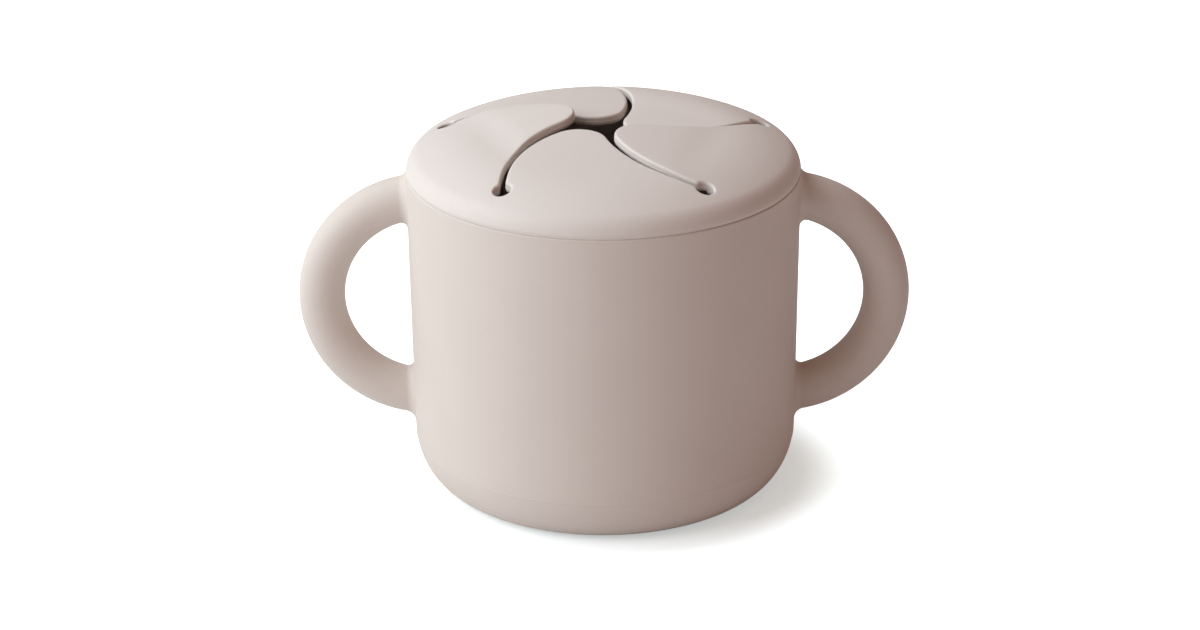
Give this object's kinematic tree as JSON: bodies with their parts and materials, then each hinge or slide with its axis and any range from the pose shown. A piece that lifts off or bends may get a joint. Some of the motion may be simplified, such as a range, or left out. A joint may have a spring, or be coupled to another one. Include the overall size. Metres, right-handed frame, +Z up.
{
  "type": "toddler snack container",
  "caption": "Soft silicone snack cup with a ring handle on each side and a press-in lid whose curved flaps let a small hand in and close again.",
  "frame": {"origin": "middle of the flat underside, on the surface the cup stands on", "axes": "+X through the right handle, +Z up along the cup's axis, -Y towards the viewer of the picture"},
  "size_m": [0.1408, 0.09, 0.0885],
  "materials": {
    "cup_silicone": "matte, fine-grained warm sand silicone",
    "lid_silicone": "matte, fine-grained warm sand silicone"
  },
  "bodies": {
    "cup": {"cup": "cup_silicone", "left_handle": "cup_silicone", "right_handle": "cup_silicone"},
    "lid": {"lid": "lid_silicone"},
    "front_flap": {"front_flap": "lid_silicone"},
    "right_flap": {"right_flap": "lid_silicone"},
    "back_right_flap": {"back_right_flap": "lid_silicone"},
    "back_left_flap": {"back_left_flap": "lid_silicone"},
    "left_flap": {"left_flap": "lid_silicone"}
  },
  "joints": [
    {"name": "lid_lift", "type": "slide", "parent": "cup", "child": "lid", "axis": [0, 0, 1], "range_m": [0, 0.05]},
    {"name": "front_flap_hinge", "type": "hinge", "parent": "lid", "child": "front_flap", "pos_m": [0, -0.03058, 0.0817], "axis": [1, 0, 0], "range_deg": [-71.7, 43.3], "stiffness_Nm_per_rad": 0.03},
    {"name": "right_flap_hinge", "type": "hinge", "parent": "lid", "child": "right_flap", "pos_m": [0.02908, -0.00945, 0.0817], "axis": [0.309, 0.9511, 0], "range_deg": [-73, 42], "stiffness_Nm_per_rad": 0.03},
    {"name": "back_right_flap_hinge", "type": "hinge", "parent": "lid", "child": "back_right_flap", "pos_m": [0.01797, 0.02474, 0.0817], "axis": [-0.809, 0.5878, 0], "range_deg": [-67, 48], "stiffness_Nm_per_rad": 0.03},
    {"name": "back_left_flap_hinge", "type": "hinge", "parent": "lid", "child": "back_left_flap", "pos_m": [-0.01797, 0.02474, 0.0817], "axis": [-0.809, -0.5878, 0], "range_deg": [-69.2, 45.8], "stiffness_Nm_per_rad": 0.03},
    {"name": "left_flap_hinge", "type": "hinge", "parent": "lid", "child": "left_flap", "pos_m": [-0.02908, -0.00945, 0.0817], "axis": [0.309, -0.9511, 0], "range_deg": [-76.2, 38.8], "stiffness_Nm_per_rad": 0.03}
  ]
}
